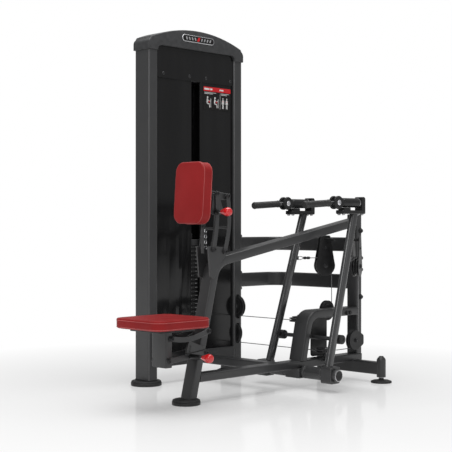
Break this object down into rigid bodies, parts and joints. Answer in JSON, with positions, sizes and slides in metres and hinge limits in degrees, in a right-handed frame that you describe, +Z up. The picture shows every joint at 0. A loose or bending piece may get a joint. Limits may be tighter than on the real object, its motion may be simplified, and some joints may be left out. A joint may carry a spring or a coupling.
{
  "type": "seated row machine",
  "caption": "Seated row machine: weight-stack tower, chest pad, height-adjusted seat and two pivoting levers with swivel grips, joined by cables over pulleys.",
  "frame": {"origin": "on the floor, at the middle of the machine's plan", "axes": "+X is the way the user faces, from the seat to the levers; +Y points to the weight tower; +Z is up"},
  "size_m": [1.8265, 1.1085, 2.158],
  "materials": {
    "frame": "graphite powder coat",
    "panel": "satin black paint",
    "cap_plastic": "moulded dark grey",
    "placard": null,
    "badge": "bright rim round a dark field",
    "chrome": "polished",
    "rubber": "moulded black",
    "nylon": "black nylon",
    "weights": "black paint",
    "cable": "coated steel cable",
    "upholstery": "red grained vinyl",
    "red_plastic": "red knob",
    "pin_plastic": "black pull knob on a steel pin"
  },
  "bodies": {
    "frame": {"tower_post_left": "frame", "tower_post_right": "frame", "tower_cap": "cap_plastic", "badge": "badge", "header_panel": "panel", "front_panel": "panel", "rear_panel": "panel", "placard": "placard", "base_rail": "frame", "top_rail": "frame", "guide_rod_left": "chrome", "guide_rod_right": "chrome", "weights_resting": "weights", "tower_foot_left": "rubber", "tower_foot_right": "rubber", "front_foot": "rubber", "levelling_foot_left": "rubber", "levelling_foot_right": "rubber", "main_tube": "frame", "base_beam": "frame", "rear_upright": "frame", "curved_beam_lower": "frame", "curved_beam_upper": "frame", "arch_tube": "frame", "bumper_left": "rubber", "bumper_right": "rubber", "pulley_housing_left": "frame", "pulley_housing_right": "frame", "cable_left": "cable", "cable_right": "cable", "stack_cables": "cable"},
    "stack": {"weights_lifted": "weights", "stack_head": "frame"},
    "selector_pin": {"selector_pin": "pin_plastic"},
    "lever_left": {"lever_left": "frame"},
    "handle_left": {"handle_knuckle_left": "frame"},
    "grip_left": {"grip_left": "rubber"},
    "frame_pulley_left": {"frame_pulley_left": "nylon"},
    "arch_pulley": {"arch_pulley": "nylon"},
    "corner_pulley_left": {"corner_pulley_left": "nylon"},
    "side_pulley_upper": {"side_pulley_upper": "nylon"},
    "lever_right": {"lever_right": "frame"},
    "handle_right": {"handle_knuckle_right": "frame"},
    "grip_right": {"grip_right": "rubber"},
    "frame_pulley_right": {"frame_pulley_right": "nylon"},
    "low_pulley": {"low_pulley": "nylon"},
    "corner_pulley_right": {"corner_pulley_right": "nylon"},
    "side_pulley_lower": {"side_pulley_lower": "nylon"},
    "post_pulley": {"post_pulley": "nylon"},
    "top_pulley": {"top_pulley": "nylon"},
    "seat_upper_link": {"seat_upper_link": "frame"},
    "seat_lower_link": {"seat_lower_link": "frame"},
    "seat_knob": {"seat_knob": "red_plastic"},
    "seat": {"seat_carrier": "frame", "seat_pad": "upholstery"},
    "chest_front_link": {"chest_front_link": "frame"},
    "chest_rear_link": {"chest_rear_link": "frame"},
    "chest_knob": {"chest_knob": "red_plastic"},
    "chest": {"chest_carrier": "frame", "chest_pad": "upholstery"}
  },
  "joints": [
    {"name": "stack_lift", "type": "slide", "parent": "frame", "child": "stack", "axis": [0, 0, 1], "range_m": [0, 0.41], "deforming": ["stack_cables"]},
    {"name": "pin_pull", "type": "slide", "parent": "stack", "child": "selector_pin", "axis": [0, -1, 0], "range_m": [0, 0.07]},
    {"name": "lever_left_swing", "type": "hinge", "parent": "frame", "child": "lever_left", "pos_m": [0.3453, 0.0007, 0.096], "axis": [0, -1, 0], "range_deg": [0, 34.98]},
    {"name": "handle_left_roll", "type": "hinge", "parent": "lever_left", "child": "handle_left", "pos_m": [0.6187, -0.0333, 1.092], "axis": [1, 0, 0], "range_deg": [-90, 90]},
    {"name": "handle_left_tilt", "type": "hinge", "parent": "handle_left", "child": "grip_left", "pos_m": [0.4647, -0.0333, 1.092], "axis": [0, 1, 0], "range_deg": [-15, 15]},
    {"name": "frame_pulley_left_turn", "type": "hinge", "parent": "frame", "child": "frame_pulley_left", "pos_m": [0.7507, -0.1043, 0.707], "axis": [-0.4612, -0.8873, 0], "continuous": true},
    {"name": "arch_pulley_turn", "type": "hinge", "parent": "frame", "child": "arch_pulley", "pos_m": [0.74529, -0.12644, 0.427], "axis": [0, -1, 0], "continuous": true},
    {"name": "corner_pulley_left_turn", "type": "hinge", "parent": "frame", "child": "corner_pulley_left", "pos_m": [0.5367, -0.07844, 0.379], "axis": [0, 0, 1], "continuous": true},
    {"name": "side_pulley_upper_turn", "type": "hinge", "parent": "frame", "child": "side_pulley_upper", "pos_m": [0.4887, 0.4117, 0.437], "axis": [-1, 0, 0], "continuous": true},
    {"name": "lever_right_swing", "type": "hinge", "parent": "frame", "child": "lever_right", "pos_m": [0.3453, -0.4653, 0.096], "axis": [0, -1, 0], "range_deg": [0, 34.98]},
    {"name": "handle_right_roll", "type": "hinge", "parent": "lever_right", "child": "handle_right", "pos_m": [0.6187, -0.4313, 1.092], "axis": [1, 0, 0], "range_deg": [-90, 90]},
    {"name": "handle_right_tilt", "type": "hinge", "parent": "handle_right", "child": "grip_right", "pos_m": [0.4647, -0.4313, 1.092], "axis": [0, 1, 0], "range_deg": [-15, 15]},
    {"name": "frame_pulley_right_turn", "type": "hinge", "parent": "frame", "child": "frame_pulley_right", "pos_m": [0.7507, -0.3603, 0.707], "axis": [0.4612, -0.8873, 0], "continuous": true},
    {"name": "low_pulley_turn", "type": "hinge", "parent": "frame", "child": "low_pulley", "pos_m": [0.74529, -0.33816, 0.257], "axis": [0, -1, 0], "continuous": true},
    {"name": "corner_pulley_right_turn", "type": "hinge", "parent": "frame", "child": "corner_pulley_right", "pos_m": [0.5367, -0.29016, 0.209], "axis": [0, 0, 1], "continuous": true},
    {"name": "side_pulley_lower_turn", "type": "hinge", "parent": "frame", "child": "side_pulley_lower", "pos_m": [0.4887, 0.4397, 0.267], "axis": [-1, 0, 0], "continuous": true},
    {"name": "post_pulley_turn", "type": "hinge", "parent": "frame", "child": "post_pulley", "pos_m": [0.4407, 0.4837, 1.975], "axis": [0, 1, 0], "continuous": true},
    {"name": "top_pulley_turn", "type": "hinge", "parent": "frame", "child": "top_pulley", "pos_m": [0.1767, 0.4837, 1.975], "axis": [0, 1, 0], "continuous": true},
    {"name": "seat_raise", "type": "hinge", "parent": "frame", "child": "seat_upper_link", "pos_m": [-0.4413, -0.2323, 0.39], "axis": [0, 1, 0], "range_deg": [0, 26]},
    {"name": "seat_lower_link_swing", "type": "hinge", "parent": "frame", "child": "seat_lower_link", "pos_m": [-0.4613, -0.2323, 0.275], "axis": [0, 1, 0], "range_deg": [0, 26]},
    {"name": "seat_level", "type": "hinge", "parent": "seat_upper_link", "child": "seat", "pos_m": [-0.7113, -0.2323, 0.366], "axis": [0, -1, 0], "range_deg": [0, 26]},
    {"name": "seat_knob_pull", "type": "slide", "parent": "seat_lower_link", "child": "seat_knob", "axis": [0, -1, 0], "range_m": [0, 0.012], "stiffness_N_per_m": 800, "springref_m": -0.005},
    {"name": "chest_adjust", "type": "hinge", "parent": "frame", "child": "chest_front_link", "pos_m": [-0.3953, -0.2323, 0.827], "axis": [0, 1, 0], "range_deg": [-9, 9]},
    {"name": "chest_rear_link_swing", "type": "hinge", "parent": "frame", "child": "chest_rear_link", "pos_m": [-0.3103, -0.2323, 0.815], "axis": [0, 1, 0], "range_deg": [-9, 9]},
    {"name": "chest_level", "type": "hinge", "parent": "chest_front_link", "child": "chest", "pos_m": [-0.3723, -0.2323, 1.132], "axis": [0, -1, 0], "range_deg": [-9, 9]},
    {"name": "chest_knob_pull", "type": "slide", "parent": "chest_front_link", "child": "chest_knob", "axis": [0, -1, 0], "range_m": [0, 0.012], "stiffness_N_per_m": 800, "springref_m": -0.005}
  ],
  "couplings": [
    {"joint": "lever_left_swing", "follows": "stack_lift", "rad_per_m": 1.4881},
    {"joint": "frame_pulley_left_turn", "follows": "stack_lift", "rad_per_m": 20.833},
    {"joint": "arch_pulley_turn", "follows": "stack_lift", "rad_per_m": 20.833},
    {"joint": "corner_pulley_left_turn", "follows": "stack_lift", "rad_per_m": 20.833},
    {"joint": "side_pulley_upper_turn", "follows": "stack_lift", "rad_per_m": 17.241},
    {"joint": "lever_right_swing", "follows": "stack_lift", "rad_per_m": 1.4881},
    {"joint": "frame_pulley_right_turn", "follows": "stack_lift", "rad_per_m": 20.833},
    {"joint": "low_pulley_turn", "follows": "stack_lift", "rad_per_m": 20.833},
    {"joint": "corner_pulley_right_turn", "follows": "stack_lift", "rad_per_m": 20.833},
    {"joint": "side_pulley_lower_turn", "follows": "stack_lift", "rad_per_m": 17.241},
    {"joint": "post_pulley_turn", "follows": "stack_lift", "rad_per_m": 20.833},
    {"joint": "top_pulley_turn", "follows": "stack_lift", "rad_per_m": 20.833},
    {"joint": "seat_lower_link_swing", "follows": "seat_raise", "ratio": 1},
    {"joint": "seat_level", "follows": "seat_raise", "ratio": 1},
    {"joint": "chest_rear_link_swing", "follows": "chest_adjust", "ratio": 1},
    {"joint": "chest_level", "follows": "chest_adjust", "ratio": 1}
  ]
}
